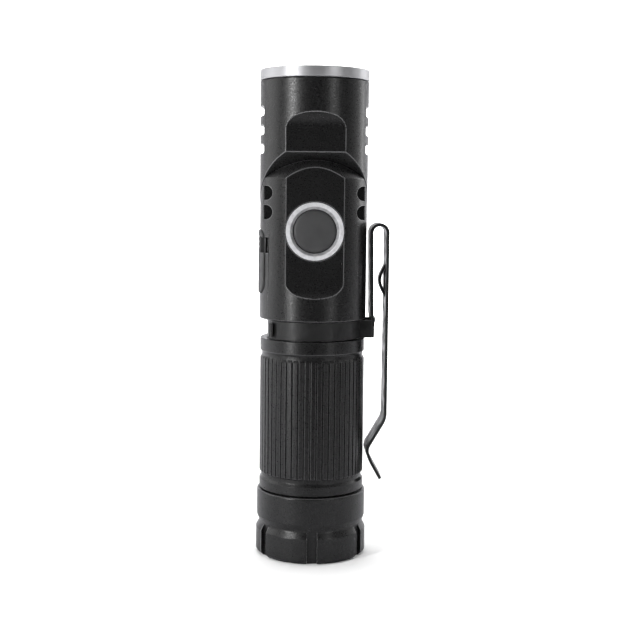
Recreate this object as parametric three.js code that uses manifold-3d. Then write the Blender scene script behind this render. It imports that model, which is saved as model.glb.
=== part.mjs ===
// A pocket torch whose head turns on a 45 degree seam, so that the beam points ahead or sideways.
// Millimetres. +Z runs along the torch towards the beam, and the origin is the middle of the tail
// cap's end face. -Y is the front, with the switch; +X has the clip; -X has the charging port.
import * as THREE from 'three';
import { mergeVertices } from 'three/addons/utils/BufferGeometryUtils.js';
import Module from 'manifold-3d';

const wasm = await Module();
wasm.setup();

// ---------------------------------------------------------------- driving dimensions

const GAP = 0.3;
const FINE = 40;
const MEDIUM = 32;
const COARSE = 20;
const REACH = 60;

// The seam is a plane through (0, 0, z) whose normal leans 45 degrees towards +Y. Distances along
// that normal are called depth: minus is in the body, plus is in the head.
// The cone that chamfers each side of the seam has its tip on the torch's axis, cone mm from the seam.
const SEAM = { z: 86.25, tilt: Math.PI / 4, wall: 2.15, cone: 21.7, slope: 1.28 };
const SEAM_FACE = GAP / 2;
const WALL_BACK = SEAM_FACE + SEAM.wall;

const FLAT = { depth: 10.8, cutter: 4.8, bodyFoot: 63.4, headTop: 106.5 };

const BODY = { radius: 12.93, bottom: 57.8, edge: 0.4, bore: 9.9, cavityFloor: 74.5, cavityFront: 8.6 };
const DIMPLE = { radius: 1.7, x: 11.6, floor: 4.7, heights: [83.35, 87.9] };

const HEAD = { radius: 13.0, top: 114.35, edge: 0.3, shelfFoot: 95.9, shelfTop: 99.3 };
const HEAD_BORE = { radius: 9.9, top: 107.3, flareTop: 108.9 };
const HEAD_SOCKET = { radius: 12.2, foot: 110.5, relief: 11.5 };
const FIN = { floor: 12.02, height: 2.3, centres: [98.3, 102.7, 107.15] };
const WIRE = { radius: 0.45, spread: 0.7, hole: 1.0, holeX: 3.2, holeY: 5.5, steps: 10 };

const PIVOT = { shaft: 5.0, bore: 3.2, hole: 5.2, flange: 5.9, flangeGap: 0.2, flangeHeight: 1.0, end: 4.2 };
const WASHER = { low: 2.4, high: 2.8 };
const NUT = { corner: 6.8, low: 3.0, high: 4.1 };
const STOP = { ring: 9.6, pin: 0.7, foot: -2.0, top: 1.15 };
const STOP_SLOT = { half: 0.9, depth: 1.2, start: Math.PI / 2, sweep: Math.PI };
const SEAL = { ring: 7.3, section: 0.55, groove: 0.7, grooveFloor: -1.25, depth: -0.6 };

const BEZEL = { radius: 13.05, foot: 111.0, bottom: 114.5, top: 117.0, edge: 0.4, lip: 10.7, lipFoot: 115.8 };
const BEZEL_SKIRT = { bore: 11.6, radius: 12.0 };
const LENS = { radius: 11.4, bottom: 113.5, top: 115.0 };
const LENS_SEAL = { inner: 10.85, outer: 11.35, gap: 0.15 };
const REFLECTOR = { focus: 1.92, vertex: 99.78, bottom: 101.7, top: 112.5, rim: 113.3, wall: 0.9 };
const LED_BOARD = { radius: 9.5, bottom: 99.6, top: 100.8 };
const LED = { chip: 3.5, top: 101.8, dome: 1.5, rise: 0.8 };
const CENTRING = { inner: 2.75, outer: 5.0 };

const SWITCH = { z: 79.0, ring: 6.8, seat: 6.95, seatDepth: 10.0, face: 11.15, hole: 5.9 };
const RING_BORE = { radius: 5.2, skirt: 5.7, back: 9.5, throat: 10.6 };
const BUTTON = { radius: 4.95, flange: 5.55, back: 8.95, flangeTop: 9.25, shoulder: 10.5, crown: 11.05 };
const PLUNGER = { radius: 1.6, back: 7.5, front: 8.65 };
const TACT = { half: 3, front: -8.2, back: -6.1, well: 1.9, wellFloor: 7.0 };
const SWITCH_BOARD = { low: [-5.5, -5.8, 76.4], high: [5.5, -4.9, 84.4] };

const COVER = { width: 11, bottom: 63.9, top: 79.1, corner: 3.0, radius: 13.27, back: 11.3, pocket: 11.0 };
const PLUG = { width: 7.2, height: 1.5, corner: 0.7, depth: 1.0 };
const PORT = { width: 8.94, height: 3.16, mouth: 10.9, length: 7.0, z: 77.6, shell: 0.3, tongue: 1.0 };
const NOTCH = { far: 7.15, near: 5.3, bottom: 73.7, top: 77.4, x: 9.95 };

const DRIVER = { radius: 9.6, bottom: 74.8, top: 76.0, front: 8.3, back: 6.7 };
const DRIVER_RING = { inner: 9.35, outer: 9.7, bottom: 71.8, top: 74.5, notchFoot: 73.1, notchFront: 7 };
const INDUCTOR = { low: [2.8, -2.4, 76.3], high: [7.6, 2.4, 79.0] };
const CHARGE_CHIP = { low: [-1.6, 1.2, 76.3], high: [1.6, 4.4, 77.2] };
const FRONT_CONTACT = { radius: 3.2, bottom: 74.0, top: 74.5 };
const CELL = { radius: 9.2, edge: 0.4, bottom: 8.7, top: 72.4, button: 2.9, buttonTop: 73.7 };

const TUBE = { bore: 9.6, bottom: 6.4, top: 62.9, neck: 11.0, tail: 11.3, radius: 12.7 };
const TAIL_COLLAR = { foot: 16.3, top: 18.6 };
const FRONT_COLLAR = { foot: 50.1, top: 53.1 };
const WAIST = { depth: 0.42, fall: 0.3, groove: 49.2 };
const FLUTE = { count: 54, depth: 0.3, halfWidth: 0.3, foot: 20.4, top: 48.2 };
const FRONT_SEAL = { ring: 10.8, z: 59.7, cut: 0.65 };
const REAR_SEAL = { ring: 11.05, z: 14.0, cut: 0.7 };
const SEAL_SECTION = 0.4;

const CLIP = { thickness: 0.75, halfWidth: 4.0, inner: 11.25, ringFoot: 53.35, ringTop: 57.6, plate: 14.9 };
const CLIP_OPEN = THREE.MathUtils.degToRad(145);
const LOOP = { x: 15.85, z: 78.6, radius: 1.95, split: 0.07 };
const ARM = { x: LOOP.x + LOOP.radius, bendZ: 34.1, touchX: 13.35, touchZ: 25.9, tipX: 16.8, tipZ: 18.7 };
const TONGUE = { halfWidth: 1.5, slit: 0.4, foot: 63.2, top: 71.1, bulge: 1.6, thickness: 0.69, steps: 10 };

const CAP = { upper: 13.25, lower: 13.45, groove: 12.7, top: 16.0, edge: 0.35 };
const CAP_BORE = { radius: 11.55, floor: 5.1, web: 2.3 };
const CAP_Z = { foot: 0.8, lowerTop: 6.2, grooveFoot: 7.55, grooveTop: 8.05, upperFoot: 9.4 };
const CAP_SLOT = { count: 6, width: 2.4, floor: 12.4, top: 7.7 };
const MAGNET = { radius: 6.0, bottom: 2.6, top: 4.8, pocket: 6.25 };
const CONTACT = { radius: 11.2, bottom: 5.4, top: 6.1 };
const SPRING = { wire: 0.28, wide: 6.2, narrow: 3.2, bottom: 6.7, top: 8.1, turns: 2.5, steps: 36 };

// ---------------------------------------------------------------- materials

const metal = (color, roughness = 0.45) => new THREE.MeshStandardMaterial({ color, roughness, metalness: 1 });
const plain = (color, roughness = 0.6) => new THREE.MeshStandardMaterial({ color, roughness, metalness: 0 });
const BLACK = 0x1d1d20;
const SILVER = 0xc4c5c8;
const STEEL = 0x8d9096;
const BRASS = 0xc9a24a;
const RUBBER = 0x3c3c40;
const BOARD = 0x1f5c38;

// ---------------------------------------------------------------- shape helpers

// Turns a closed three.js geometry into a solid, leaving out the flat triangles on a lathe's axis.
function solid(geometry) {
  geometry.deleteAttribute('normal');
  geometry.deleteAttribute('uv');
  const merged = mergeVertices(geometry, 1e-4);
  const corners = merged.index.array;
  const kept = [];
  for (let i = 0; i < corners.length; i += 3) {
    const [a, b, c] = corners.slice(i, i + 3);
    if (a !== b && b !== c && c !== a) kept.push(a, b, c);
  }
  return new wasm.Manifold(new wasm.Mesh({
    numProp: 3,
    vertProperties: Float32Array.from(merged.attributes.position.array),
    triVerts: Uint32Array.from(kept),
  }));
}

function geometryOf(manifold) {
  const { vertProperties, triVerts } = manifold.getMesh();
  const geometry = new THREE.BufferGeometry();
  geometry.setAttribute('position', new THREE.BufferAttribute(vertProperties, 3));
  geometry.setIndex(new THREE.BufferAttribute(triVerts, 1));
  return geometry;
}

// A profile is a list of [radius, height] that climbs on its outer side, turned about Z.
function turnedGeometry(profile, segments = FINE) {
  const points = profile.map(([radius, height]) => new THREE.Vector2(radius, height));
  if (profile[0][0] > 0 || profile.at(-1)[0] > 0) points.push(points[0].clone());
  return new THREE.LatheGeometry(points, segments).rotateX(Math.PI / 2);
}

const turned = (profile, segments) => solid(turnedGeometry(profile, segments));

const discProfile = (radius, bottom, top) => [[0, bottom], [radius, bottom], [radius, top], [0, top]];

const ringProfile = (inner, outer, bottom, top) => [
  [inner, bottom], [outer, bottom], [outer, top], [inner, top],
];

function sealProfile(ring, section, height, sides = 6) {
  return Array.from({ length: sides }, (_, i) => {
    const angle = (2 * Math.PI * i) / sides;
    return [ring + section * Math.cos(angle), height + section * Math.sin(angle)];
  });
}

function box(low, high) {
  const size = high.map((value, i) => value - low[i]);
  const middle = high.map((value, i) => (value + low[i]) / 2);
  return solid(new THREE.BoxGeometry(...size).translate(...middle));
}

function prism(shape, depth, curveSegments = 6) {
  return new THREE.ExtrudeGeometry(shape, { depth, bevelEnabled: false, curveSegments });
}

// An outline in (y, z), extruded along X from one x to another.
function prismAlongX(shape, from, to) {
  const turn = new THREE.Matrix4().makeBasis(
    new THREE.Vector3(0, 1, 0), new THREE.Vector3(0, 0, 1), new THREE.Vector3(1, 0, 0),
  );
  return solid(prism(shape, to - from).applyMatrix4(turn).translate(from, 0, 0));
}

// An outline in (x, z), extruded along Y from one y to another.
function prismAlongY(shape, from, to) {
  return solid(prism(shape, to - from).rotateX(Math.PI / 2).translate(0, to, 0));
}

function roundedOutline(width, height, corner, z) {
  const w = width / 2 - corner;
  const h = height / 2 - corner;
  const shape = new THREE.Shape();
  shape.absarc(w, z + h, corner, 0, Math.PI / 2);
  shape.absarc(-w, z + h, corner, Math.PI / 2, Math.PI);
  shape.absarc(-w, z - h, corner, Math.PI, 1.5 * Math.PI);
  shape.absarc(w, z - h, corner, 1.5 * Math.PI, 2 * Math.PI);
  return shape;
}

// Turned pieces of the switch: their height is the distance out from the torch's axis, to the front.
const facingFront = (profile, segments, x = 0, z = SWITCH.z) => solid(
  turnedGeometry(profile, segments).rotateX(Math.PI / 2).translate(x, 0, z),
);

const onSeam = (geometry) => geometry.rotateX(-SEAM.tilt).translate(0, 0, SEAM.z);

const seamTurned = (profile, segments) => solid(onSeam(turnedGeometry(profile, segments)));

// The slab between two depths from the seam.
function seamSlab(from, to) {
  const slab = new THREE.BoxGeometry(2 * REACH, 2 * REACH, to - from);
  return solid(onSeam(slab.translate(0, 0, (from + to) / 2)));
}

// What the milling cutter takes off the front: a flat that runs out in a hollow arc at one end.
function flatCutter(end, direction) {
  const rise = BODY.radius - FLAT.depth;
  const run = Math.sqrt(FLAT.cutter ** 2 - (FLAT.cutter - rise) ** 2);
  const centre = end - direction * run;
  const swing = Math.PI / 2 + Math.asin(0.2);
  const shape = new THREE.Shape();
  const arcEnd = direction > 0 ? swing : -swing;
  shape.moveTo(-REACH, centre - direction * REACH);
  shape.lineTo(-FLAT.depth, centre - direction * REACH);
  shape.absarc(-FLAT.depth - FLAT.cutter, centre, FLAT.cutter, 0, arcEnd, direction < 0);
  shape.lineTo(-REACH, centre + direction * FLAT.cutter);
  return prismAlongX(shape, -REACH / 2, REACH / 2);
}

function stripOutline(path, thickness) {
  const half = thickness / 2;
  const sides = path.map((point, i) => {
    const before = path[Math.max(i - 1, 0)];
    const after = path[Math.min(i + 1, path.length - 1)];
    const along = after.clone().sub(before).normalize();
    return new THREE.Vector2(-along.y, along.x).multiplyScalar(half);
  });
  const left = path.map((point, i) => point.clone().add(sides[i]));
  const right = path.map((point, i) => point.clone().sub(sides[i]));
  return new THREE.Shape([...left, ...right.reverse()]);
}

function arcPoints(x, z, radius, from, to, count) {
  return Array.from({ length: count + 1 }, (_, i) => {
    const angle = from + ((to - from) * i) / count;
    return new THREE.Vector2(x + radius * Math.cos(angle), z + radius * Math.sin(angle));
  });
}

function wire(points, radius, steps) {
  const outline = new THREE.Shape();
  outline.absarc(0, 0, radius, 0, 2 * Math.PI);
  const path = new THREE.CatmullRomCurve3(points.map((point) => new THREE.Vector3(...point)));
  return solid(new THREE.ExtrudeGeometry(outline, { steps, extrudePath: path, curveSegments: 4 }));
}

const torch = new THREE.Group();
const pivot = new THREE.Group();
pivot.rotation.x = -SEAM.tilt;
pivot.position.z = SEAM.z;
torch.add(pivot);

function add(name, shape, material, group = torch) {
  const mesh = new THREE.Mesh(geometryOf(shape), material);
  mesh.name = name;
  group.add(mesh);
}

// ---------------------------------------------------------------- head

function headHousing() {
  const coneFoot = SEAM.z - SEAM.cone;
  let head = turned([
    [0, coneFoot], [HEAD.radius, coneFoot + SEAM.slope * HEAD.radius], [HEAD.radius, HEAD.top - HEAD.edge],
    [HEAD.radius - HEAD.edge, HEAD.top], [0, HEAD.top],
  ]).intersect(seamSlab(SEAM_FACE, REACH));
  head = head.subtract(flatCutter(FLAT.headTop, 1));
  for (const z of FIN.centres) {
    for (const side of [-1, 1]) {
      const near = side * FIN.floor;
      const far = side * REACH / 2;
      head = head.subtract(box(
        [Math.min(near, far), -REACH / 2, z - FIN.height / 2],
        [Math.max(near, far), REACH / 2, z + FIN.height / 2],
      ));
    }
  }
  head = head.subtract(turned([
    [0, HEAD.shelfTop], [HEAD_BORE.radius, HEAD.shelfTop], [HEAD_BORE.radius, HEAD_BORE.top],
    [HEAD_SOCKET.relief, HEAD_BORE.flareTop], [HEAD_SOCKET.relief, HEAD_SOCKET.foot],
    [HEAD_SOCKET.radius, HEAD_SOCKET.foot], [HEAD_SOCKET.radius, HEAD.top + GAP], [0, HEAD.top + GAP],
  ]));
  const hollow = turned(discProfile(HEAD_BORE.radius, SEAM.z - REACH / 2, HEAD.shelfFoot));
  head = head.subtract(hollow.intersect(seamSlab(WALL_BACK, REACH)));
  head = head.subtract(seamTurned(discProfile(PIVOT.hole, 0, WALL_BACK + GAP), COARSE));
  for (const side of [-1, 1]) {
    const hole = turnedGeometry(discProfile(WIRE.hole, HEAD.shelfFoot - GAP, HEAD.shelfTop + GAP), 16);
    head = head.subtract(solid(hole.translate(side * WIRE.holeX, WIRE.holeY, 0)));
  }
  return head.subtract(stopSlot());
}

// The blind arc in the head's seam face that the body's stop pin runs in, half a turn long.
function stopSlot() {
  const margin = (STOP.pin + 0.15) / STOP.ring;
  const shape = new THREE.Shape();
  const from = STOP_SLOT.start - margin;
  const to = STOP_SLOT.start + STOP_SLOT.sweep + margin;
  shape.absarc(0, 0, STOP.ring + STOP_SLOT.half, from, to, false);
  shape.absarc(0, 0, STOP.ring - STOP_SLOT.half, to, from, true);
  return solid(onSeam(prism(shape, SEAM_FACE + STOP_SLOT.depth)));
}

const bezelRing = () => turned([
  [BEZEL_SKIRT.bore, BEZEL.foot], [BEZEL_SKIRT.radius, BEZEL.foot], [BEZEL_SKIRT.radius, BEZEL.bottom],
  [BEZEL.radius, BEZEL.bottom], [BEZEL.radius, BEZEL.top - BEZEL.edge],
  [BEZEL.radius - BEZEL.edge, BEZEL.top], [BEZEL.lip + BEZEL.edge, BEZEL.top],
  [BEZEL.lip, BEZEL.top - BEZEL.edge], [BEZEL.lip, BEZEL.lipFoot], [BEZEL_SKIRT.bore, BEZEL.lipFoot],
]);

// A paraboloid cup with its focus at the light source, and a flange that the lens presses on.
function reflector() {
  const bowl = (height) => 2 * Math.sqrt(REFLECTOR.focus * (height - REFLECTOR.vertex));
  const steps = 6;
  const heights = Array.from({ length: steps + 1 }, (_, i) => (
    REFLECTOR.bottom + ((REFLECTOR.top - REFLECTOR.bottom) * i) / steps
  ));
  const outside = heights.map((z) => [bowl(z) + REFLECTOR.wall, z]);
  const inside = heights.map((z) => [bowl(z), z]).reverse();
  return turned([
    ...outside.slice(0, -1), [outside.at(-2)[0], REFLECTOR.top], [LENS.radius, REFLECTOR.top],
    [LENS.radius, REFLECTOR.rim], [bowl(REFLECTOR.top), REFLECTOR.rim], ...inside,
  ], MEDIUM);
}

function ledEmitter() {
  const half = LED.chip / 2;
  const steps = 4;
  const dome = Array.from({ length: steps }, (_, i) => {
    const angle = (Math.PI / 2) * (i / steps);
    return [LED.dome * Math.cos(angle), LED.top - GAP / 3 + LED.rise * Math.sin(angle)];
  });
  const bulb = turned([[0, LED.top - GAP], ...dome, [0, LED.top + LED.rise - GAP / 3]], COARSE);
  return box([-half, -half, LED_BOARD.top + GAP], [half, half, LED.top]).add(bulb);
}

function headWire(side) {
  const along = (depth) => [side * WIRE.spread, depth * Math.SQRT1_2, SEAM.z + depth * Math.SQRT1_2];
  return wire([
    along(GAP), along(2.5), along(4.2), [side * 2.4, 4.6, 92.8], [side * WIRE.holeX, WIRE.holeY, 96.1],
    [side * WIRE.holeX, WIRE.holeY, HEAD.shelfTop],
  ], WIRE.radius, WIRE.steps);
}

add('head_housing', headHousing(), metal(BLACK));
add('bezel_ring', bezelRing(), metal(SILVER, 0.3));
add('front_lens', turned(discProfile(LENS.radius, LENS.bottom, LENS.top)), plain(0xdfe6ea, 0.05));
add('lens_oring', turned(ringProfile(
  LENS_SEAL.inner, LENS_SEAL.outer, LENS.top + LENS_SEAL.gap, BEZEL.lipFoot - LENS_SEAL.gap,
)), plain(RUBBER));
add('reflector', reflector(), metal(0xe8e8ea, 0.12));
add('led_centring_ring', turned(ringProfile(
  CENTRING.inner, CENTRING.outer, LED_BOARD.top + GAP, LED_BOARD.top + 2 * GAP,
), COARSE), plain(0xf2f2f0));
add('led_emitter', ledEmitter(), plain(0xf0d860));
add('led_board', turned(
  discProfile(LED_BOARD.radius, LED_BOARD.bottom, LED_BOARD.top), MEDIUM,
), plain(0xeceeee));
add('led_wire_red', headWire(1), plain(0xa02020));
add('led_wire_black', headWire(-1), plain(0x202020));

// ---------------------------------------------------------------- pivot between head and body

// A hollow flanged bush fixed in the body, with the wires through it; the head turns on its shaft.
function pivotBushing() {
  const under = -WALL_BACK - PIVOT.flangeGap;
  return turned([
    [PIVOT.bore, under - PIVOT.flangeHeight], [PIVOT.flange, under - PIVOT.flangeHeight],
    [PIVOT.flange, under], [PIVOT.shaft, under], [PIVOT.shaft, PIVOT.end], [PIVOT.bore, PIVOT.end],
  ], MEDIUM);
}

function pivotNut() {
  const hexagon = turned(discProfile(NUT.corner, NUT.low, NUT.high), 6);
  return hexagon.subtract(turned(discProfile(PIVOT.hole, 0, REACH), MEDIUM));
}

const atStop = (geometry) => geometry.translate(
  STOP.ring * Math.cos(STOP_SLOT.start), STOP.ring * Math.sin(STOP_SLOT.start), 0,
);

const stopPin = () => solid(atStop(turnedGeometry(discProfile(STOP.pin, STOP.foot + GAP / 3, STOP.top), 16)));


add('pivot_bushing', pivotBushing(), metal(STEEL), pivot);
add('pivot_washer', turned(
  ringProfile(PIVOT.hole, PIVOT.flange, WASHER.low, WASHER.high), MEDIUM,
), plain(0xe8e4d8), pivot);
add('pivot_nut', pivotNut(), metal(STEEL), pivot);
add('pivot_oring', turned(sealProfile(SEAL.ring, SEAL.section, SEAL.depth), MEDIUM), plain(RUBBER), pivot);

add('stop_pin', stopPin(), metal(STEEL), pivot);

// ---------------------------------------------------------------- body

function bodyHousing() {
  const coneTop = SEAM.z + SEAM.cone;
  let body = turned([
    [0, BODY.bottom], [BODY.radius - BODY.edge, BODY.bottom], [BODY.radius, BODY.bottom + BODY.edge],
    [BODY.radius, coneTop - SEAM.slope * BODY.radius], [0, coneTop],
  ]).intersect(seamSlab(-REACH, -SEAM_FACE));
  body = body.subtract(flatCutter(FLAT.bodyFoot, -1));
  for (const z of DIMPLE.heights) {
    for (const side of [-1, 1]) {
      const dimple = discProfile(DIMPLE.radius, DIMPLE.floor, REACH / 2);
      body = body.subtract(facingFront(dimple, 24, side * DIMPLE.x, z));
    }
  }
  body = body.subtract(turned(discProfile(TUBE.neck + GAP, BODY.bottom - GAP, TUBE.top + GAP)));
  body = body.subtract(turned(discProfile(BODY.bore, TUBE.top, BODY.cavityFloor)));
  const cavity = turned(discProfile(BODY.bore, BODY.cavityFloor - GAP, SEAM.z + REACH / 2))
    .intersect(seamSlab(-REACH, -WALL_BACK))
    .intersect(box([-REACH, -BODY.cavityFront, 0], [REACH, REACH, 2 * REACH]));
  body = body.subtract(cavity);
  body = body.subtract(facingFront(discProfile(SWITCH.seat, SWITCH.seatDepth, REACH / 2), MEDIUM));
  body = body.subtract(facingFront(discProfile(SWITCH.hole, BODY.cavityFront - GAP, REACH / 2), MEDIUM));
  body = body.subtract(portCuts());
  body = body.subtract(seamTurned(discProfile(PIVOT.hole, -WALL_BACK - GAP, 0), COARSE));
  const groove = ringProfile(SEAL.ring - SEAL.groove, SEAL.ring + SEAL.groove, SEAL.grooveFloor, 0);
  body = body.subtract(seamTurned(groove, MEDIUM));
  const pinHole = turnedGeometry(discProfile(STOP.pin + 0.1, STOP.foot, 0), 16);
  return body.subtract(solid(onSeam(atStop(pinHole))));
}

// The cover's recess, the fingernail notch beside it and the window that the port looks out of.
function portCuts() {
  const height = COVER.top - COVER.bottom + GAP;
  const middle = (COVER.top + COVER.bottom) / 2;
  const recess = roundedOutline(COVER.width + GAP, height, COVER.corner + GAP / 2, middle);
  const notch = box([-REACH, -NOTCH.far, NOTCH.bottom], [-NOTCH.x, -NOTCH.near, NOTCH.top]);
  const window = roundedOutline(PORT.width + GAP, PORT.height + GAP, (PORT.height + GAP) / 2 - 0.01, PORT.z);
  return prismAlongX(recess, -REACH / 2, -COVER.pocket)
    .add(notch)
    .add(prismAlongX(window, -COVER.pocket - 0.5, -6));
}

const switchRing = () => facingFront([
  [RING_BORE.radius, RING_BORE.back], [RING_BORE.skirt, RING_BORE.back],
  [RING_BORE.skirt, SWITCH.seatDepth + GAP], [SWITCH.ring, SWITCH.seatDepth + GAP],
  [SWITCH.ring, SWITCH.face - GAP / 2], [SWITCH.ring - GAP / 2, SWITCH.face],
  [RING_BORE.skirt, SWITCH.face], [RING_BORE.radius, RING_BORE.throat],
], MEDIUM);

function switchCap() {
  const steps = 3;
  const crown = Array.from({ length: steps }, (_, i) => {
    const angle = (Math.PI / 2) * (i / steps);
    const rise = BUTTON.crown - BUTTON.shoulder;
    return [BUTTON.radius * Math.cos(angle), BUTTON.shoulder + rise * Math.sin(angle)];
  });
  return facingFront([
    [0, BUTTON.back], [BUTTON.flange, BUTTON.back], [BUTTON.flange, BUTTON.flangeTop],
    [BUTTON.radius, BUTTON.flangeTop], ...crown, [0, BUTTON.crown],
  ], MEDIUM);
}

function tactSwitch() {
  const low = [-TACT.half, TACT.front, SWITCH.z - TACT.half];
  const high = [TACT.half, TACT.back, SWITCH.z + TACT.half];
  return box(low, high).subtract(facingFront(discProfile(TACT.well, TACT.wellFloor, REACH), 24));
}

function driverBoard() {
  const disc = turned(discProfile(DRIVER.radius, DRIVER.bottom, DRIVER.top), MEDIUM);
  return disc.intersect(box([-REACH, -DRIVER.front, 0], [REACH, DRIVER.back, 2 * REACH]));
}

// The threaded ring that holds the board up; it is notched at the front to clear the switch.
function driverRing() {
  const { inner, outer, bottom, top, notchFoot, notchFront } = DRIVER_RING;
  const notch = box([-REACH, -REACH, notchFoot], [REACH, -notchFront, 2 * REACH]);
  return turned(ringProfile(inner, outer, bottom, top), MEDIUM).subtract(notch);
}

// The charging socket: an oblong shell open at its mouth, closed behind, with the contact tongue.
function usbPort() {
  const back = PORT.length - PORT.mouth;
  const round = (width, height) => roundedOutline(width, height, height / 2 - 0.01, PORT.z);
  const shell = prismAlongX(round(PORT.width, PORT.height), -PORT.mouth, back);
  const inside = round(PORT.width - 2 * PORT.shell, PORT.height - 2 * PORT.shell);
  const hollow = prismAlongX(inside, -PORT.mouth - GAP, back - 0.8);
  const tongue = box([PORT.tongue - PORT.mouth, -3.35, PORT.z - 0.35], [back - 0.5, 3.35, PORT.z + 0.35]);
  return shell.subtract(hollow).add(tongue);
}

function bodyWire(side) {
  const along = (depth) => [side * WIRE.spread, depth * Math.SQRT1_2, SEAM.z + depth * Math.SQRT1_2];
  return wire([
    [side * 1.8, -2.2, DRIVER.top + GAP], [side * 1.4, -3.0, 79.6], [side * 0.8, -3.6, 82.5],
    along(-3.2), along(-1.6), along(-GAP),
  ], WIRE.radius, WIRE.steps);
}

add('body_housing', bodyHousing(), metal(BLACK));
add('switch_ring', switchRing(), metal(SILVER, 0.3));
add('switch_cap', switchCap(), plain(RUBBER));
add('switch_plunger', facingFront(
  discProfile(PLUNGER.radius, PLUNGER.back, PLUNGER.front), 24,
), plain(0xd8d4c8));
add('tact_switch', tactSwitch(), plain(0x222226));
add('switch_board', box(SWITCH_BOARD.low, SWITCH_BOARD.high), plain(BOARD));
add('driver_board', driverBoard(), plain(BOARD));
add('driver_inductor', box(INDUCTOR.low, INDUCTOR.high), plain(0x3a3a40));
add('charge_chip', box(CHARGE_CHIP.low, CHARGE_CHIP.high), plain(0x18181a));
add('driver_ring', driverRing(), metal(BRASS));
add('front_contact', turned(
  discProfile(FRONT_CONTACT.radius, FRONT_CONTACT.bottom, FRONT_CONTACT.top), COARSE,
), metal(BRASS));
add('usb_port', usbPort(), metal(SILVER, 0.3));
add('driver_wire_red', bodyWire(1), plain(0xa02020));
add('driver_wire_black', bodyWire(-1), plain(0x202020));

function portCover() {
  const middle = (COVER.top + COVER.bottom) / 2;
  const outline = roundedOutline(COVER.width, COVER.top - COVER.bottom, COVER.corner, middle);
  const skin = prismAlongX(outline, -REACH / 2, -COVER.back);
  const round = turned(discProfile(COVER.radius, COVER.bottom - GAP, COVER.top + GAP), 64);
  const tip = roundedOutline(PLUG.width, PLUG.height, PLUG.corner, PORT.z);
  const plug = prismAlongX(tip, -COVER.back - GAP, PLUG.depth - COVER.back);
  return skin.intersect(round).add(plug);
}

add('port_cover', portCover(), plain(RUBBER));

// ---------------------------------------------------------------- battery tube and cell

// The tube's grip: a ring whose outline has a narrow V at every flute.
function flutedGrip() {
  const shape = new THREE.Shape();
  const pitch = (2 * Math.PI) / FLUTE.count;
  const half = FLUTE.halfWidth / TUBE.radius;
  const at = (radius, angle) => [radius * Math.cos(angle), radius * Math.sin(angle)];
  shape.moveTo(...at(TUBE.radius, half));
  for (let i = 0; i < FLUTE.count; i += 1) {
    const next = (i + 1) * pitch;
    shape.lineTo(...at(TUBE.radius, next - half));
    shape.lineTo(...at(TUBE.radius - FLUTE.depth, next));
    if (i < FLUTE.count - 1) shape.lineTo(...at(TUBE.radius, next + half));
  }
  return solid(prism(shape, FLUTE.top - FLUTE.foot).translate(0, 0, FLUTE.foot));
}

function batteryTube() {
  const groove = SEAL_SECTION + GAP;
  const rearFloor = TUBE.tail - REAR_SEAL.cut;
  const frontFloor = TUBE.neck - FRONT_SEAL.cut;
  const waist = TUBE.radius - WAIST.depth;
  const tube = turned([
    [0, TUBE.bottom], [TUBE.tail, TUBE.bottom],
    [TUBE.tail, REAR_SEAL.z - groove], [rearFloor, REAR_SEAL.z - groove],
    [rearFloor, REAR_SEAL.z + groove], [TUBE.tail, REAR_SEAL.z + groove],
    [TUBE.tail, TAIL_COLLAR.foot], [TUBE.radius, TAIL_COLLAR.foot], [TUBE.radius, TAIL_COLLAR.top],
    [waist, TAIL_COLLAR.top + WAIST.fall], [waist, FLUTE.foot],
    [TUBE.radius - FLUTE.depth, FLUTE.foot], [TUBE.radius - FLUTE.depth, FLUTE.top],
    [waist, WAIST.groove], [TUBE.radius, FRONT_COLLAR.foot], [TUBE.radius, FRONT_COLLAR.top],
    [TUBE.neck, FRONT_COLLAR.top],
    [TUBE.neck, FRONT_SEAL.z - groove], [frontFloor, FRONT_SEAL.z - groove],
    [frontFloor, FRONT_SEAL.z + groove], [TUBE.neck, FRONT_SEAL.z + groove],
    [TUBE.neck, TUBE.top], [0, TUBE.top],
  ]);
  return tube.add(flutedGrip()).subtract(turned(discProfile(TUBE.bore, 0, TUBE.top + GAP)));
}

const tubeSeal = ({ ring, z }) => turned(sealProfile(ring, SEAL_SECTION, z), MEDIUM);

function batteryCell() {
  const { radius, edge, bottom, top } = CELL;
  return turned([
    [0, bottom], [radius - edge, bottom], [radius, bottom + edge],
    [radius, top - edge], [radius - edge, top], [0, top],
  ], MEDIUM);
}

add('battery_tube', batteryTube(), metal(BLACK));
add('tube_oring_front', tubeSeal(FRONT_SEAL), plain(RUBBER));
add('tube_oring_rear', tubeSeal(REAR_SEAL), plain(RUBBER));
add('battery_cell', batteryCell(), plain(0x2f6f8f));
add('battery_terminal', turned(
  discProfile(CELL.button, CELL.top + GAP, CELL.buttonTop), COARSE,
), metal(SILVER));

// ---------------------------------------------------------------- clip

// The spring ring: it hugs the tube's neck, opens at -X and squares out to a plate at +X.
function clipCollar() {
  const { inner, thickness, halfWidth, plate } = CLIP;
  const outer = inner + thickness;
  const outerEar = Math.asin(halfWidth / outer);
  const innerEar = Math.asin((halfWidth - thickness) / inner);
  const shape = new THREE.Shape();
  shape.absarc(0, 0, outer, -CLIP_OPEN, -outerEar, false);
  shape.lineTo(plate, -halfWidth);
  shape.lineTo(plate, halfWidth);
  shape.absarc(0, 0, outer, outerEar, CLIP_OPEN, false);
  shape.absarc(0, 0, inner, CLIP_OPEN, innerEar, true);
  shape.lineTo(plate - thickness, halfWidth - thickness);
  shape.lineTo(plate - thickness, thickness - halfWidth);
  shape.absarc(0, 0, inner, -innerEar, -CLIP_OPEN, true);
  return solid(prism(shape, CLIP.ringTop - CLIP.ringFoot, 12).translate(0, 0, CLIP.ringFoot));
}

const strip = (path) => prismAlongY(stripOutline(path, CLIP.thickness), -CLIP.halfWidth, CLIP.halfWidth);

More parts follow.
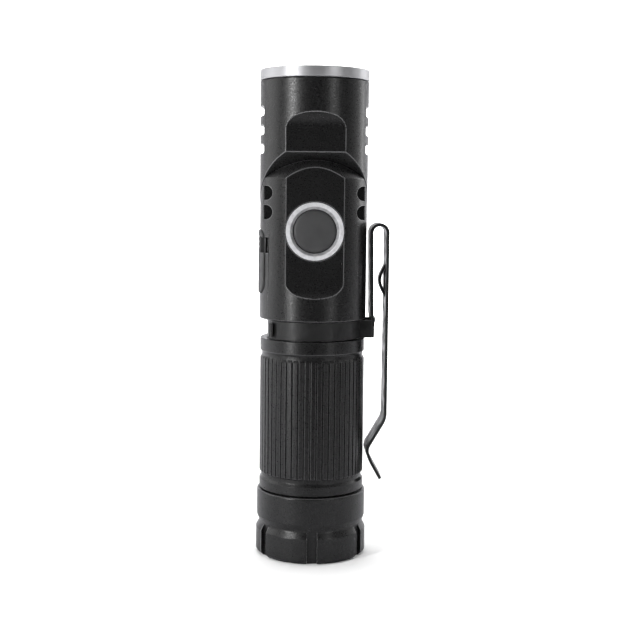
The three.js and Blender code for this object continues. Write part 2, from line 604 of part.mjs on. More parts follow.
function clipRing() {
  const plateX = CLIP.plate - CLIP.thickness / 2;
  const top = Math.PI / 2 + LOOP.split;
  const path = [
    new THREE.Vector2(plateX, CLIP.ringTop - 1.5), new THREE.Vector2(plateX, CLIP.ringTop - 0.6),
    new THREE.Vector2(plateX - 0.3, CLIP.ringTop + 0.4),
    ...arcPoints(LOOP.x, LOOP.z, LOOP.radius, Math.PI, top, 7),
  ];
  return clipCollar().add(strip(path));
}

function clipArm() {
  const top = Math.PI / 2 - LOOP.split;
  const path = [
    ...arcPoints(LOOP.x, LOOP.z, LOOP.radius, top, 0, 7),
    new THREE.Vector2(ARM.x, ARM.bendZ), new THREE.Vector2(ARM.x - 0.5, ARM.bendZ - 1.5),
    new THREE.Vector2(ARM.touchX + 0.5, ARM.touchZ + 1.3), new THREE.Vector2(ARM.touchX, ARM.touchZ + 0.4),
    new THREE.Vector2(ARM.touchX + 0.05, ARM.touchZ - 0.6), new THREE.Vector2(ARM.tipX, ARM.tipZ),
  ];
  const low = [ARM.x - 2, -TONGUE.halfWidth - TONGUE.slit, TONGUE.foot];
  const high = [ARM.x + 2, TONGUE.halfWidth + TONGUE.slit, TONGUE.top];
  return strip(path).subtract(box(low, high)).add(tongue());
}

// A lanced tongue that bows in from the arm and joins it again at both ends.
function tongue() {
  const start = TONGUE.foot - GAP;
  const length = TONGUE.top - TONGUE.foot + 2 * GAP;
  const path = Array.from({ length: TONGUE.steps + 1 }, (_, i) => new THREE.Vector2(
    ARM.x - TONGUE.bulge * Math.sin((Math.PI * i) / TONGUE.steps) ** 1.5,
    start + (length * i) / TONGUE.steps,
  ));
  return prismAlongY(stripOutline(path, TONGUE.thickness), -TONGUE.halfWidth, TONGUE.halfWidth);
}

add('clip_ring', clipRing(), metal(0x3a3b3e, 0.35));
add('clip_arm', clipArm(), metal(0x3a3b3e, 0.35));

// ---------------------------------------------------------------- tail

function tailCap() {
  let cap = turned([
    [0, 0], [CAP.lower - CAP_Z.foot, 0], [CAP.lower, CAP_Z.foot], [CAP.lower, CAP_Z.lowerTop],
    [CAP.groove, CAP_Z.grooveFoot], [CAP.groove, CAP_Z.grooveTop], [CAP.upper, CAP_Z.upperFoot],
    [CAP.upper, CAP.top - CAP.edge], [CAP.upper - CAP.edge, CAP.top], [CAP_BORE.radius, CAP.top],
    [CAP_BORE.radius, CAP_BORE.floor], [MAGNET.pocket, CAP_BORE.floor],
    [MAGNET.pocket, CAP_BORE.web], [0, CAP_BORE.web],
  ]);
  for (let i = 0; i < CAP_SLOT.count; i += 1) {
    const turn = (2 * Math.PI * i) / CAP_SLOT.count - Math.PI / 2;
    const slot = new THREE.BoxGeometry(REACH, CAP_SLOT.width, 2 * CAP_SLOT.top);
    cap = cap.subtract(solid(slot.translate(REACH / 2 + CAP_SLOT.floor, 0, 0).rotateZ(turn)));
  }
  return cap;
}

// A cone-shaped coil that presses on the cell.
function tailSpring() {
  const points = Array.from({ length: SPRING.steps + 1 }, (_, i) => {
    const share = i / SPRING.steps;
    const radius = SPRING.wide + (SPRING.narrow - SPRING.wide) * share;
    const angle = 2 * Math.PI * SPRING.turns * share;
    const height = SPRING.bottom + (SPRING.top - SPRING.bottom) * share;
    return [radius * Math.cos(angle), radius * Math.sin(angle), height];
  });
  return wire(points, SPRING.wire, SPRING.steps);
}

add('tail_cap', tailCap(), metal(BLACK));
add('tail_magnet', turned(discProfile(MAGNET.radius, MAGNET.bottom, MAGNET.top), MEDIUM), metal(SILVER));
add('tail_contact', turned(discProfile(CONTACT.radius, CONTACT.bottom, CONTACT.top), MEDIUM), metal(BRASS));
add('tail_spring', tailSpring(), metal(SILVER));

export default torch;
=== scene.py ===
import math

import bmesh
import bpy
from mathutils import Matrix, Vector


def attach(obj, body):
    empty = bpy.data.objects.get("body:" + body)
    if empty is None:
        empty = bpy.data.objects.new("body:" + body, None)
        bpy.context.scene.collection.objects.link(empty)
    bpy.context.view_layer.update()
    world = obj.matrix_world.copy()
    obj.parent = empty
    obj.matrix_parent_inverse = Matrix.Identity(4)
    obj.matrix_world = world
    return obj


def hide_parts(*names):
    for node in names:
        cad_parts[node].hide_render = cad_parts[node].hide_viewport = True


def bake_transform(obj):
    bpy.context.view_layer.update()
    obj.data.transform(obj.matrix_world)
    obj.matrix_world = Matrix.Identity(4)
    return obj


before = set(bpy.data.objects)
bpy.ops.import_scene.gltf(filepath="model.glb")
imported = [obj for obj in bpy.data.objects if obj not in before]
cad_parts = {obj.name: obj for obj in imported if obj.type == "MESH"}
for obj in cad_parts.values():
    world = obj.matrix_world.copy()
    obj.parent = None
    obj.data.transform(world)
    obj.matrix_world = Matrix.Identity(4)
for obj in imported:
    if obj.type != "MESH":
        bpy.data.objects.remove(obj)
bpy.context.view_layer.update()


class Sizes:
    """Dimensions in millimetres or other settings, read by name."""

    def __init__(self, **sizes):
        self.__dict__.update(sizes)


BLACK = (0, 0, 0, 1)
WHITE = (1, 1, 1, 1)
MM = 0.001
TAU = 2 * math.pi
TINY = 1e-6
UPRIGHT = Matrix.Identity(4)

# ---- driving dimensions, as in the CAD part

# Cutters run out to these distances, past the part on every side.
FAR = 60
WIDE = 30

# The seam is a plane at 45 degrees through the axis at SEAM_Z. Each half stays SEAM_FACE away from it and
# has a wall of SEAM_WALL behind it. The shoulders are cones with their tips SEAM_CONE away on the axis.
SEAM_Z = 86.25
SEAM_CONE = 21.7
CONE_SLOPE = 1.28
SEAM_FACE = 0.15
SEAM_WALL = 2.3
PIVOT_BORE = Sizes(radius=5.2, depth=2.6)

# The front flat, and the round cutter that it runs out in.
FLAT_DEPTH = 10.97
FLAT_CUTTER = 4.8
FLAT_SWEEP = 98

HEAD = Sizes(
    radius=13.0, top=114.35, arch=106.5, shelf=99.3, bore=9.9, cavity=95.9, funnel=107.3,
    lens_bore=11.5, lens_seat=108.9, bezel_bore=12.2, bezel_seat=110.5,
)
FIN = Sizes(floor=12.02, reach=10, height=2.3, corner=0.45, centres=(98.3, 102.7, 107.15))
BEZEL = Sizes(
    radius=13.05, bottom=114.5, top=117.0, lip=10.7, lip_foot=115.8, bore=11.6,
    barrel=12.0, barrel_foot=111.0, chamfer=0.6, round=0.28,
)
LENS = Sizes(radius=11.4, bottom=113.5, top=115.0, round=0.2)
REFLECTOR = Sizes(
    focus=1.92, vertex=99.78, bottom=101.7, top=112.5, flange=11.4,
    flange_thick=0.75, wall=0.8,
)
LED = Sizes(foot=101.1, top=101.8, half=1.75, dome=1.5, dome_height=0.8, sunk=0.1)

BODY = Sizes(
    radius=12.93, bottom=57.8, foot=63.4, bore=9.9, cavity=74.5, cavity_top=110,
    front=8.6, socket_gap=0.3, socket_top=63.2,
)
DIMPLE = Sizes(radius=1.7, x=11.6, floor=4.7, heights=(83.35, 87.9))
SWITCH_Z = 79.0
SEAT = Sizes(floor=8.0, bore=5.9, step=10.0, ring=6.95)
RING = Sizes(
    barrel_bore=5.2, barrel=5.7, foot=9.5, flange_foot=10.3, radius=6.8, face=11.15,
    band=5.8, mouth=5.15, mouth_y=10.5,
)
BUTTON = Sizes(
    flange=5.55, back=8.95, step=9.25, radius=4.95, shoulder=10.45,
    crown=4.75, crown_foot=10.55, crown_rise=0.45,
)
COVER = Sizes(bottom=63.9, top=79.1, width=11.0, corner=3.0, radius=13.27, back=11.3, pocket=11.0, gap=0.3)
GRIP = Sizes(heights=(75.0, 76.2, 77.4), width=0.5, length=5.0, corner=0.24, x=-14.1, depth=1.0)
TAB = Sizes(y=-4.6, width=2.6, corner=0.3, x=-14.6, depth=2.9)
PLUG = Sizes(width=7.2, height=1.5, corner=0.7, outer=-11.5, inner=-10.3)
PORT = Sizes(z=77.6, width=9.24, height=3.46, corner=1.72, outer=-11.5, inner=-6)
NOTCH = Sizes(far=7.15, near=5.3, x=9.95, bottom=73.7, top=77.4)

TUBE = Sizes(bore=9.6, bottom=6.4, top=62.9, neck=11.0, tail=11.3, radius=12.7, waist=12.28)
THREAD = Sizes(
    foot=6.8, length=5.6, rows=56, fade_top=12.5, fade=0.6,
    pitch=1.0, depth=0.35, steepness=1.6, crest=0.3,
)
TAIL_GROOVE = Sizes(radius=10.6, foot=13.3, top=14.7)
NECK_GROOVE = Sizes(radius=10.35, foot=59.05, top=60.35)
GROOVE_SLOPE = 0.05
TAIL_COLLAR = (16.3, 18.6)
FRONT_COLLAR = (50.1, 53.1)
FLUTE = Sizes(count=54, depth=0.34, half=0.23, lip=0.03, foot=20.4, top=48.2, row_gap=3.4, rows=7)

CLIP = Sizes(
    thick=0.75, half=4.0, inner=11.25, foot=53.35, top=57.6, plate=14.9, open=145,
    edge=0.14, corner_out=1.1, corner_in=0.5,
)
CURL = Sizes(radius=0.62, thick=0.4, foot=0.42, height=3.4, sweep=240, overlap=0.03)
STRAND = Sizes(foot=56.1, upright_top=57.3, lean_from=58.0, inset=0.3, bend=58.8, split=72.0)
NUB = Sizes(inset=0.1, proud=0.15, below=0.4, above=0.7)
LOOP = Sizes(x=15.85, z=78.6, radius=1.95)
BLEND = Sizes(before=0.75, above=0.4, run=1.782, fall=0.1782)
ARM = Sizes(
    x=17.8, top=78.4, bend=33.5, touch_x=13.35, touch_z=25.9, foot_x=14.2,
    foot_z=23.3, tip_x=16.8, tip_z=18.7, round=1.4,
)
TONGUE = Sizes(half=1.5, slit=0.4, foot=63.2, top=71.1, bulge=1.6, overlap=0.5, thick=0.7)

CAP = Sizes(
    upper=13.25, lower=13.45, groove=12.7, top=16.0, bore=11.55, floor=5.1, web=2.3,
    foot_chamfer=0.8, top_chamfer=0.3, groove_foot=6.2, groove_low=7.55, groove_high=8.05,
    groove_top=9.4, pocket=6.25,
)
CAP_SLOT = Sizes(count=6, floor=12.4, half=1.2, top=7.7)

# ---- settings of the look

# A face is an edge rounding if it is narrower than width and bends by least degrees at its two long sides,
# or at any two if all its sides are under short. Such faces are painted paler, as a painted highlight on the
# chamfers and some edge wearing; a bend of full degrees gives the full amount.
EDGE = Sizes(width=0.15, least=5, full=24, short=0.3)
# A face is turned if its normal is off the radius by less than off_axis, isn't along the axis (side), and
# is narrow seen from the axis (spread is the cosine). Larger faces count more, by AREA_POWER.
TURNED = Sizes(off_axis=0.012, side=1e-4, spread=0.995)
AREA_POWER = 1.5

STAGE = Sizes(front=-1500, bend_start=700, bend=500, top=1600, half_width=2500)
CAMERA = Sizes(azimuth=-1.9, distance=288.0, height=87.72, lens=68.4, sensor=36, pitch=5.7, roll=0.61)

# ---- mesh helpers


def soften(points, radius=0.2, steps=3, closed=True):
    """Rounds every corner of an outline with a short curve."""
    result = []
    count = len(points)
    for i, point in enumerate(points):
        if not closed and i in (0, count - 1):
            result.append(tuple(point))
            continue
        corner = Vector(point)
        before = Vector(points[i - 1])
        after = Vector(points[(i + 1) % count])
        reach = min(radius, 0.45 * (before - corner).length, 0.45 * (after - corner).length)
        start = corner + (before - corner).normalized() * reach
        end = corner + (after - corner).normalized() * reach
        for step in range(steps + 1):
            t = step / steps
            result.append(tuple(start.lerp(corner, t).lerp(corner.lerp(end, t), t)))
    return result


def mesh_from(verts, faces):
    """A clean closed mesh, with its faces pointing outward."""
    mesh = bpy.data.meshes.new("work")
    mesh.from_pydata([tuple(v) for v in verts], [], faces)
    bm = bmesh.new()
    bm.from_mesh(mesh)
    bmesh.ops.remove_doubles(bm, verts=bm.verts, dist=1e-5)
    bmesh.ops.dissolve_degenerate(bm, edges=bm.edges, dist=1e-6)
    bmesh.ops.recalc_face_normals(bm, faces=bm.faces)
    bm.to_mesh(mesh)
    bm.free()
    return mesh


def wrapped_faces(columns, rows, spans):
    """Quads round a closed grid of columns with this many rows, joined along the first spans of them."""
    faces = []
    for i in range(columns):
        here = i * rows
        there = (i + 1) % columns * rows
        for j in range(spans):
            k = (j + 1) % rows
            faces.append((here + j, there + j, there + k, here + k))
    return faces


def lathe(profile, segments=192):
    """Turns an outline of (radius, height) about Z. It closes on itself or on the axis."""
    verts = []
    count = len(profile)
    closed = profile[0][0] > TINY or profile[-1][0] > TINY
    for i in range(segments):
        angle = TAU * i / segments
        verts += [(r * math.cos(angle), r * math.sin(angle), z) for r, z in profile]
    return mesh_from(verts, wrapped_faces(segments, count, count if closed else count - 1))


def rod(radius, low, high, segments=96):
    """A plain cylinder about Z."""
    return lathe([(0, low), (radius, low), (radius, high), (0, high)], segments)


def turns(start, end, steps):
    """Evenly spaced angles from start to end, both included."""
    return [start + (end - start) * i / steps for i in range(steps + 1)]


def prism(outline, depth, matrix=None):
    """Extrudes a flat outline along Z and then places it."""
    count = len(outline)
    verts = [(x, y, 0) for x, y in outline] + [(x, y, depth) for x, y in outline]
    faces = [tuple(reversed(range(count))), tuple(range(count, 2 * count))]
    faces += [(i, (i + 1) % count, count + (i + 1) % count, count + i) for i in range(count)]
    mesh = mesh_from(verts, faces)
    if matrix:
        mesh.transform(matrix)
    return mesh


def block(low, high):
    """A box between two corners."""
    outline = [(low[0], low[1]), (high[0], low[1]), (high[0], high[1]), (low[0], high[1])]
    return prism(outline, high[2] - low[2], Matrix.Translation((0, 0, low[2])))


def rounded_outline(width, height, corner, middle=0.0, steps=10):
    """A rectangle with round corners, centred on (0, middle)."""
    points = []
    centres = ((1, 1), (-1, 1), (-1, -1), (1, -1))
    for quarter, (sx, sy) in enumerate(centres):
        for step in range(steps + 1):
            angle = math.pi / 2 * (quarter + step / steps)
            x = sx * (width / 2 - corner) + corner * math.cos(angle)
            y = middle + sy * (height / 2 - corner) + corner * math.sin(angle)
            points.append((x, y))
    return points


TO_FRONT = Matrix.Rotation(math.pi / 2, 4, "X")
TO_X = Matrix(((0, 0, 1, 0), (1, 0, 0, 0), (0, 1, 0, 0), (0, 0, 0, 1)))
ON_SEAM = Matrix.Translation((0, 0, SEAM_Z)) @ Matrix.Rotation(-math.pi / 4, 4, "X")


def at_front(mesh, x=0.0, z=SWITCH_Z):
    """Lays a mesh made about Z so that its Z axis points out of the front."""
    mesh.transform(Matrix.Translation((x, 0, z)) @ TO_FRONT)
    return mesh


def along_x(outline, start, end):
    """Extrudes an outline of (y, z) from x = start to x = end."""
    return prism(outline, end - start, Matrix.Translation((start, 0, 0)) @ TO_X)


def on_seam(mesh):
    """Tilts a mesh made about Z onto the seam's own axis."""
    mesh.transform(ON_SEAM)
    return mesh


def new_object(name, data):
    obj = bpy.data.objects.new(name, data)
    bpy.context.scene.collection.objects.link(obj)
    return obj


def applied(mesh, make_modifiers):
    """The mesh after the modifiers that make_modifiers adds."""
    obj = new_object("work", mesh)
    make_modifiers(obj)
    graph = bpy.context.evaluated_depsgraph_get()
    result = bpy.data.meshes.new_from_object(obj.evaluated_get(graph))
    bpy.data.objects.remove(obj)
    return result


def carve(mesh, *cutters, operation="DIFFERENCE"):
    """Cuts the mesh with each cutter in turn, or joins or intersects it with them."""
    for cutter in cutters:
        tool = new_object("work", cutter)

        def cut(obj):
            modifier = obj.modifiers.new("cut", "BOOLEAN")
            modifier.solver = "EXACT"
            modifier.operation = operation
            modifier.object = tool

        mesh = applied(mesh, cut)
        bpy.data.objects.remove(tool)
    return mesh


def bevelled(mesh, width=0.14, angle=24, segments=2):
    """Rounds every edge that is sharper than angle, in degrees."""

    def bevel(obj):
        modifier = obj.modifiers.new("bevel", "BEVEL")
        modifier.width = width
        modifier.segments = segments
        modifier.limit_method = "ANGLE"
        modifier.angle_limit = math.radians(angle)
        modifier.use_clamp_overlap = False
        modifier.miter_outer = "MITER_SHARP"

    return applied(mesh, bevel)


def mark_edges(mesh, edge_wear_and_highlight):
    """Stores on each face whether it is the thin rounding of an outer corner, where the materials paint a
    pale painted highlight and some edge wearing.
    """
    bm = bmesh.new()
    bm.from_mesh(mesh)
    values = []
    for face in bm.faces:
        sides = sorted(face.edges, key=lambda edge: edge.calc_length(), reverse=True)
        bends = [math.degrees(edge.calc_face_angle(0.0)) if edge.is_convex else 0.0 for edge in sides]
        longest = sides[0].calc_length()
        is_thin = face.calc_area() < EDGE.width * longest
        long_sides_bent = min(bends[:2]) > EDGE.least
        two_sides_bent = sorted(bends)[-2] > EDGE.least
        is_bent = long_sides_bent or (longest < EDGE.short and two_sides_bent)
        values.append(edge_wear_and_highlight * min(1.0, max(bends) / EDGE.full) if is_thin and is_bent else 0.0)
    bm.free()
    # The edge value marks where a pale painted highlight, with some edge wearing, goes on the chamfers.
    attribute = mesh.attributes.new("edge", "FLOAT", "FACE")
    attribute.data.foreach_set("value", values)


def turned_faces(mesh, frame_of, around):
    """For each face: if it is turned about the axis, how far it faces outward, its normal and its area."""
    spin = frame_of.to_3x3()
    rows = []
    for polygon in mesh.polygons:
        normal = spin @ polygon.normal
        centre = frame_of @ polygon.center
        out = Vector((centre.x, centre.y, 0)).normalized()
        flat = Vector((normal.x, normal.y, 0))
        side = flat.dot(out)
        off_axis = (flat - out * side).length
        spread = min(around[index].dot(out) for index in polygon.vertices)
        is_round = off_axis < TURNED.off_axis and abs(side) > TURNED.side
        rows.append((is_round and spread > TURNED.spread, side, normal, polygon.area))
    return rows


def turned_normals(mesh, frame_of, join=28.0):
    """Gives each face corner the true normal of the turned or flat surface that it belongs to.

    frame_of takes the mesh to a frame where its turning axis is Z. Faces that meet at less than join
    degrees are blended there, and the larger face counts for more, so that flats stay flat.
    """
    unspin = frame_of.inverted().to_3x3()
    local = [frame_of @ vert.co for vert in mesh.vertices]
    around = [Vector((p.x, p.y, 0)).normalized() if math.hypot(p.x, p.y) > TINY else Vector() for p in local]
    faces = turned_faces(mesh, frame_of, around)
    touching = [[] for _ in mesh.vertices]
    for polygon in mesh.polygons:
        for index in polygon.vertices:
            touching[index].append(polygon.index)
    limit = math.cos(math.radians(join))

    def normal_at(face, vert):
        is_turned, side, normal = faces[face][:3]
        if not is_turned:
            return normal
        return (around[vert] * side + Vector((0, 0, normal.z))).normalized()

    normals = []
    for polygon in mesh.polygons:
        for vert in polygon.vertices:
            own = normal_at(polygon.index, vert)
            total = Vector()
            for other in touching[vert]:
                theirs = normal_at(other, vert)
                if theirs.dot(own) > limit:
                    area = faces[other][3]
                    total += theirs * area**AREA_POWER
            normals.append(unspin @ (total.normalized() if total.length > TINY**2 else own))
    mesh.shade_smooth()
    mesh.normals_split_custom_set(normals)


def piece(name, mesh, body, material, nodes=(), turned_about=UPRIGHT, edge_wear_and_highlight=1.0):
    """Scales a finished mesh to metres and hangs it on its body, if it has only one."""
    # Marks the thin edge roundings that the materials paint paler: a painted highlight on the chamfers, with
    # some edge wearing.
    mark_edges(mesh, edge_wear_and_highlight)
    turned_normals(mesh, turned_about)
    mesh.transform(Matrix.Scale(MM, 4))
    mesh.name = name
    obj = new_object(name, mesh)
    mesh.materials.clear()
    mesh.materials.append(material)
    if body:
        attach(obj, body)
    if nodes:
        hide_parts(*nodes)
    return obj


# ---- materials


def fill(tree, made, **inputs):
    """Links each named input of a node to a socket, or sets it to a value."""
    for key, value in inputs.items():
        entry = made.inputs[key.replace("_", " ")]
        if isinstance(value, bpy.types.NodeSocket):
            tree.links.new(value, entry)
        else:
            entry.default_value = value


def node(tree, kind, output, **inputs):
    """A new node with these inputs; gives its output of that name."""
    made = tree.nodes.new("ShaderNode" + kind)
    fill(tree, made, **inputs)
    return made.outputs[output]


def shader(name, **inputs):
    """A new material, its nodes and its shader; inputs are values the same all over."""
    material = bpy.data.materials.new(name)
    material.use_nodes = True
    principled = material.node_tree.nodes["Principled BSDF"]
    fill(material.node_tree, principled, **inputs)
    return material, material.node_tree, principled


def position(tree, scale=(1, 1, 1), location=(0, 0, 0)):
    """Object coordinates in metres, times scale, plus location."""
    source = node(tree, "TexCoord", "Object")
    return node(tree, "Mapping", "Vector", Vector=source, Scale=scale, Location=location)


def noise(tree, scale, detail=3.0, vector=None):
    return node(tree, "TexNoise", "Fac", Scale=scale, Detail=detail, Vector=vector or position(tree))


def ramp(tree, value, to=(0, 1), over=(0.35, 0.65)):
    """Maps a value from the range over to the range to, and clamps it there."""
    limits = {"From_Min": over[0], "From_Max": over[1], "To_Min": to[0], "To_Max": to[1]}
    return node(tree, "MapRange", "Result", Value=value, **limits)


def mix(tree, factor, first, second):
    """A colour between two colours or colour sockets."""
    made = tree.nodes.new("ShaderNodeMix")
    made.data_type = "RGBA"
    for socket, value in (("A", first), ("B", second)):
        entry = next(s for s in made.inputs if s.name == socket and s.type == "RGBA")
        if isinstance(value, tuple):
            entry.default_value = value
        else:
            tree.links.new(value, entry)
    tree.links.new(factor, made.inputs["Factor"])
    return next(s for s in made.outputs if s.type == "RGBA")


def bump(tree, height, principled, distance, strength):
    normal = node(tree, "Bump", "Normal", Strength=strength, Distance=distance, Height=height)
    fill(tree, principled, Normal=normal)


def length_of(tree, vector):
    made = tree.nodes.new("ShaderNodeVectorMath")
    made.operation = "LENGTH"
    tree.links.new(vector, made.inputs[0])
    return made.outputs["Value"]


def worn_and_highlit(tree, colour, rubbed_and_highlit, amount):
    """The colour with its marked edges painted paler: a painted highlight on the chamfers, with some edge
    wearing.
    """
    made = tree.nodes.new("ShaderNodeAttribute")
    made.attribute_name = "edge"
    return mix(tree, ramp(tree, made.outputs["Fac"], (0, amount), (0, 1)), colour, grey(rubbed_and_highlit))


def grey(value):
    """A grey that is very slightly cool."""
    return (value, value, value * 1.03, 1.0)


def anodised_material(name, base=0.005, rubbed_and_highlit=0.2):
    """Bead-blasted black anodising: fine grain, faint mottling, and a pale painted highlight on the edges,
    with some edge wearing.
    """
    material, tree, principled = shader(name, Metallic=0.0, IOR=1.45)
    grain = ramp(tree, noise(tree, 4200, 2), over=(0.5, 0.75))
    cloud = ramp(tree, noise(tree, 160, 3))
    colour = mix(tree, grain, grey(base * 0.7), grey(base * 4))
    colour = mix(tree, ramp(tree, cloud, (0, 0.35), (0, 1)), colour, grey(base * 1.5))
    blast = noise(tree, 3200, 2)
    # Paints the marked edges paler: a painted highlight on the chamfers, partly edge wearing.
    colour = worn_and_highlit(tree, colour, rubbed_and_highlit, 0.85)
    fill(tree, principled, Base_Color=colour, Roughness=ramp(tree, blast, (0.26, 0.4)))
    bump(tree, blast, principled, distance=0.00003, strength=0.45)
    return material


def bright_material(name, base, rough, stretch=(1, 1, 900), metallic=1.0):
    """Bare turned metal, with fine tool lines round the axis."""
    material, tree, principled = shader(name, Metallic=metallic)
    lines = noise(tree, 14, 4, position(tree, stretch))
    colour = mix(tree, lines, grey(base * 0.85), grey(base * 1.1))
    fill(tree, principled, Base_Color=colour, Roughness=ramp(tree, lines, (rough * 0.8, rough * 1.3)))
    bump(tree, lines, principled, distance=0.00001, strength=0.25)
    return material


def ring_material(name, band=0.64, chamfer=0.28):
    """The button's bezel: a pale satin band outside a chamfer painted darker, as painted shade."""
    material, tree, principled = shader(name, Metallic=0.4, Roughness=0.5)
    centred = position(tree, (1, 0, 1), (0, 0, -SWITCH_Z * MM))
    edge = ((RING.band - 0.1) * MM, (RING.band + 0.05) * MM)
    on_band = ramp(tree, length_of(tree, centred), over=edge)
    cloud = ramp(tree, noise(tree, 900, 3))
    pale = mix(tree, cloud, grey(band * 0.88), grey(band * 1.1))
    # The chamfer's darker colour is painted shade.
    painted_shade_chamfer = mix(tree, cloud, grey(chamfer * 0.8), grey(chamfer * 1.3))
    fill(tree, principled, Base_Color=mix(tree, on_band, painted_shade_chamfer, pale))
    bump(tree, noise(tree, 2600, 2), principled, distance=0.00004, strength=0.3)
    return material


def coated_material(name, base=0.006, rubbed_and_highlit=0.12):
    """Thin glossy black coating on spring steel, with a pale painted highlight and some rubbing through
    along the edges.
    """
    material, tree, principled = shader(name, Metallic=0.0, IOR=1.42)
    cloud = noise(tree, 420, 4)
    # Paints the marked edges paler: a painted highlight on the rounded edges, partly the coating rubbed
    # through.
    colour = worn_and_highlit(tree, mix(tree, cloud, grey(base), grey(base * 2)), rubbed_and_highlit, 0.3)
    fill(tree, principled, Base_Color=colour, Roughness=ramp(tree, cloud, (0.3, 0.6)))
    bump(tree, noise(tree, 2600, 2), principled, distance=0.00001, strength=0.3)
    return material


def rubber_material(name, base, rough):
    """Matt rubber with a fine moulded grain."""
    material, tree, principled = shader(name, Metallic=0.0, Specular_IOR_Level=0.4)
    cloud = noise(tree, 380, 4)
    # Paints the marked edges paler: a painted highlight along the rounded edges, with some edge wearing.
    colour = worn_and_highlit(tree, mix(tree, cloud, grey(base * 0.8), grey(base * 1.25)), base * 2.2, 0.5)
    fill(tree, principled, Base_Color=colour, Roughness=ramp(tree, cloud, (rough - 0.06, rough + 0.06)))
    bump(tree, noise(tree, 3000, 3), principled, distance=0.00002, strength=0.4)
    return material


def shade(colour, factor, lift=0.0):
    """A colour made darker or lighter, as a four-part colour."""
    return tuple(min(1.0, c * factor + lift) for c in colour) + (1.0,)


def plain_material(name, colour, rough=0.45, metallic=0.0, grain=1200):
    """A moulded, soldered or plated inner piece: an even colour with slight variation."""
    material, tree, principled = shader(name, Metallic=metallic)
    cloud = noise(tree, grain, 3)
    mottled = mix(tree, cloud, shade(colour, 0.82), shade(colour, 1.12))
    fill(tree, principled, Base_Color=mottled, Roughness=ramp(tree, cloud, (rough - 0.05, rough + 0.08)))
    bump(tree, cloud, principled, distance=0.00002, strength=0.2)
    return material


def board_material(name, mask):
    """Solder mask over copper tracks, drawn as a fine grid of cells."""
    material, tree, principled = shader(name, Roughness=0.35)
    cells = node(tree, "TexVoronoi", "Distance", Scale=700, Vector=position(tree))
    track = ramp(tree, cells, over=(0.25, 0.3))
    fill(tree, principled, Base_Color=mix(tree, track, shade(mask, 1), shade(mask, 1.6, 0.02)))
    bump(tree, track, principled, distance=0.00003, strength=0.3)
    return material


def glass_material(name):
    """Clear glass with the faintest variation in its tint."""
    material, tree, principled = shader(name, Roughness=0.02, IOR=1.46, Transmission_Weight=1.0)
    fill(tree, principled, Base_Color=mix(tree, noise(tree, 240, 2), (0.95, 0.97, 0.99, 1), WHITE))
    return material


anodised = anodised_material("anodised_black")
bright = bright_material("bright_metal", 0.44, 0.4, metallic=0.8)
ring_metal = ring_material("ring_metal")
steel = bright_material("plain_steel", 0.5, 0.3, (300, 300, 300))
clip_steel = coated_material("spring_steel")
mirror = bright_material("reflector_mirror", 0.86, 0.09, (500, 500, 500))
button_rubber = rubber_material("button_rubber", 0.04, 0.5)
cover_rubber = rubber_material("cover_rubber", 0.022, 0.5)
seal_rubber = rubber_material("seal_rubber", 0.02, 0.4)
glass = glass_material("lens_glass")
brass = plain_material("brass", (0.72, 0.5, 0.2), 0.3, 1.0)
white_plastic = plain_material("white_plastic", (0.8, 0.8, 0.77), 0.5)
phosphor = plain_material("phosphor", (0.85, 0.7, 0.12), 0.3)
board_white = board_material("board_white", (0.75, 0.76, 0.76))
board_green = board_material("board_green", (0.02, 0.12, 0.045))
black_plastic = plain_material("component_black", (0.02, 0.02, 0.022), 0.5)
cell_wrap = plain_material("cell_wrap", (0.05, 0.22, 0.4), 0.25, 0.0, 90)
wire_red = plain_material("wire_red", (0.5, 0.02, 0.02), 0.35)
wire_black = plain_material("wire_black", (0.02, 0.02, 0.02), 0.35)

# ---- cutters shared by the head and the body


def seam_block(start, end):
    """A slab between two depths from the seam; plus is towards the head."""
    return on_seam(block((-FAR, -FAR, start), (FAR, FAR, end)))


def pivot_bore(direction):
    """The bore for the pivot bushing, from the seam into the head (1) or the body (-1)."""
    depth = PIVOT_BORE.depth
    return on_seam(rod(PIVOT_BORE.radius, min(0, direction * depth), max(0, direction * depth), 64))


def flat_cutter(end, direction):
    """The front flat's cutter: straight, then running out in a hollow arc at one end."""
    rise = BODY.radius - FLAT_DEPTH
    run = math.sqrt(FLAT_CUTTER**2 - (FLAT_CUTTER - rise) ** 2)
    centre = end - direction * run
    outline = [(-FAR, centre - direction * FAR), (-FLAT_DEPTH, centre - direction * FAR)]
    for angle in turns(0, direction * math.radians(FLAT_SWEEP), 28):
        y = -FLAT_DEPTH - FLAT_CUTTER + FLAT_CUTTER * math.cos(angle)
        outline.append((y, centre + FLAT_CUTTER * math.sin(angle)))
    outline.append((-FAR, centre + direction * FLAT_CUTTER))
    return along_x(outline, -WIDE, WIDE)


# ---- head


def fin_cutters():
    """The slots in both sides of the head that leave its cooling fins."""
    cutters = []
    for z in FIN.centres:
        for side in (-1, 1):
            outline = rounded_outline(2 * FIN.reach, FIN.height, FIN.corner, z, 5)
            slot = [(side * (FIN.floor + FIN.reach) + x, y) for x, y in outline]
            cutters.append(prism(slot, 2 * WIDE, Matrix.Translation((0, WIDE, 0)) @ TO_FRONT))
    return cutters


